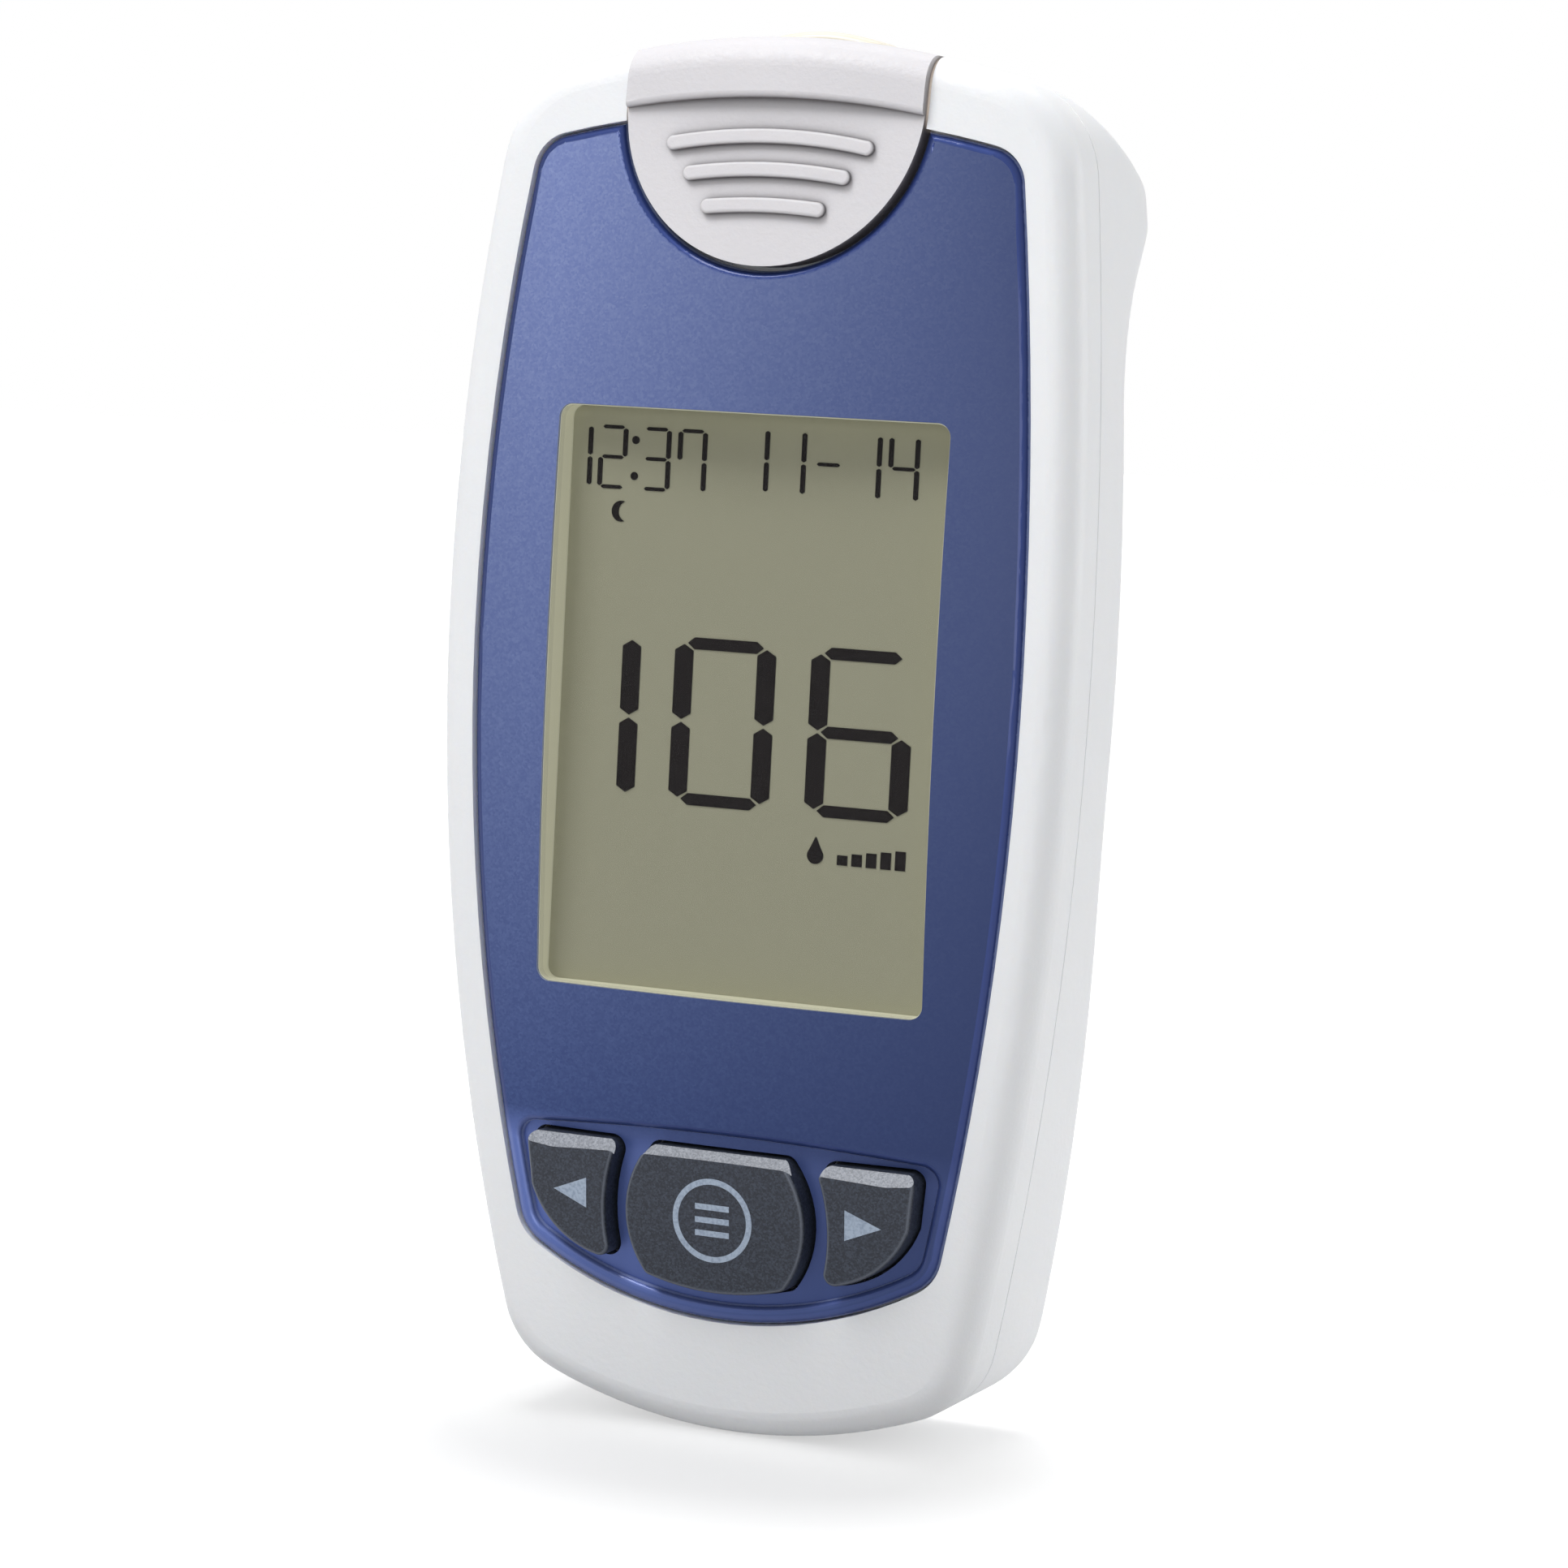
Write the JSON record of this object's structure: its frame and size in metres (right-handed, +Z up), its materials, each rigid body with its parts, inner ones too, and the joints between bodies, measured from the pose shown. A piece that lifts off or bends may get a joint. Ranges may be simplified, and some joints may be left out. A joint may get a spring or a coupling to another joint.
{
  "type": "blood glucose meter",
  "caption": "Hand-held blood glucose meter with a blue face, display, keys, sliding strip ejector and an arched white body with a hinged cell door.",
  "frame": {"origin": "middle of the bottom of the bounding box, with the meter standing on its lower end", "axes": "+Z up the length toward the strip entry, -Y out of the display, +X to the right of a viewer who faces the display"},
  "size_m": [0.0476, 0.0212, 0.0993],
  "materials": {
    "white_abs": "fine spark-eroded texture, satin",
    "blue_clearcoat": "metallic blue under a clear gloss",
    "clear_lens": "polished clear lens",
    "lcd_grey_green": "reflective twisted-nematic display tone",
    "charcoal_key": "dark grey grained key plastic",
    "black_foam": "closed-cell foam",
    "display_glass": "ground-edge display glass",
    "reflector_foil": "diffuse foil",
    "frame_grey": "moulded inner frame",
    "zebra_rubber": "striped silicone",
    "silicone_grey": "translucent silicone",
    "green_laminate": "solder mask over glass laminate",
    "chip_black": "moulded epoxy",
    "tan_ceramic": "fired ceramic",
    "plated_steel": "zinc plated",
    "gold_plated": "gold flash on spring bronze",
    "spring_steel": "drawn wire",
    "cell_steel": "nickel-plated can",
    "ivory_plastic": "moulded guide plastic"
  },
  "bodies": {
    "case": {"front_housing": "white_abs", "rear_housing": "white_abs", "front_panel": "blue_clearcoat", "display_window": "clear_lens", "display_gasket": "black_foam", "lcd_polariser": "lcd_grey_green", "lcd_glass": "display_glass", "lcd_reflector": "reflector_foil", "lcd_frame": "frame_grey", "zebra_strips": "zebra_rubber", "key_mat": "silicone_grey", "circuit_board": "green_laminate", "board_chips": "chip_black", "board_parts": "tan_ceramic", "buzzer": "cell_steel", "board_screws": "plated_steel", "strip_socket": "chip_black", "strip_contacts": "gold_plated", "strip_guide": "ivory_plastic", "ejector_springs": "spring_steel", "coin_cell": "cell_steel", "battery_minus": "spring_steel", "battery_plus": "spring_steel", "housing_screws": "plated_steel"},
    "ejector": {"strip_ejector": "white_abs", "ejector_carriage": "ivory_plastic", "ejector_screw": "plated_steel"},
    "left_key": {"left_button": "charcoal_key"},
    "centre_key": {"centre_button": "charcoal_key"},
    "right_key": {"right_button": "charcoal_key"},
    "door": {"battery_door": "white_abs"}
  },
  "joints": [
    {"name": "ejector_slide", "type": "slide", "parent": "case", "child": "ejector", "axis": [0, 0, 1], "range_m": [0, 0.003], "stiffness_N_per_m": 200, "springref_m": -0.002, "deforming": ["ejector_springs"]},
    {"name": "left_key_press", "type": "slide", "parent": "case", "child": "left_key", "axis": [0, 1, 0], "range_m": [0, 0.0005], "stiffness_N_per_m": 800, "springref_m": -0.0006},
    {"name": "centre_key_press", "type": "slide", "parent": "case", "child": "centre_key", "axis": [0, 1, 0], "range_m": [0, 0.0005], "stiffness_N_per_m": 800, "springref_m": -0.0006},
    {"name": "right_key_press", "type": "slide", "parent": "case", "child": "right_key", "axis": [0, 1, 0], "range_m": [0, 0.0005], "stiffness_N_per_m": 800, "springref_m": -0.0006},
    {"name": "door_hinge", "type": "hinge", "parent": "case", "child": "door", "pos_m": [0, 0.00419, 0.03401], "axis": [1, 0, 0], "range_deg": [0, 90]}
  ]
}
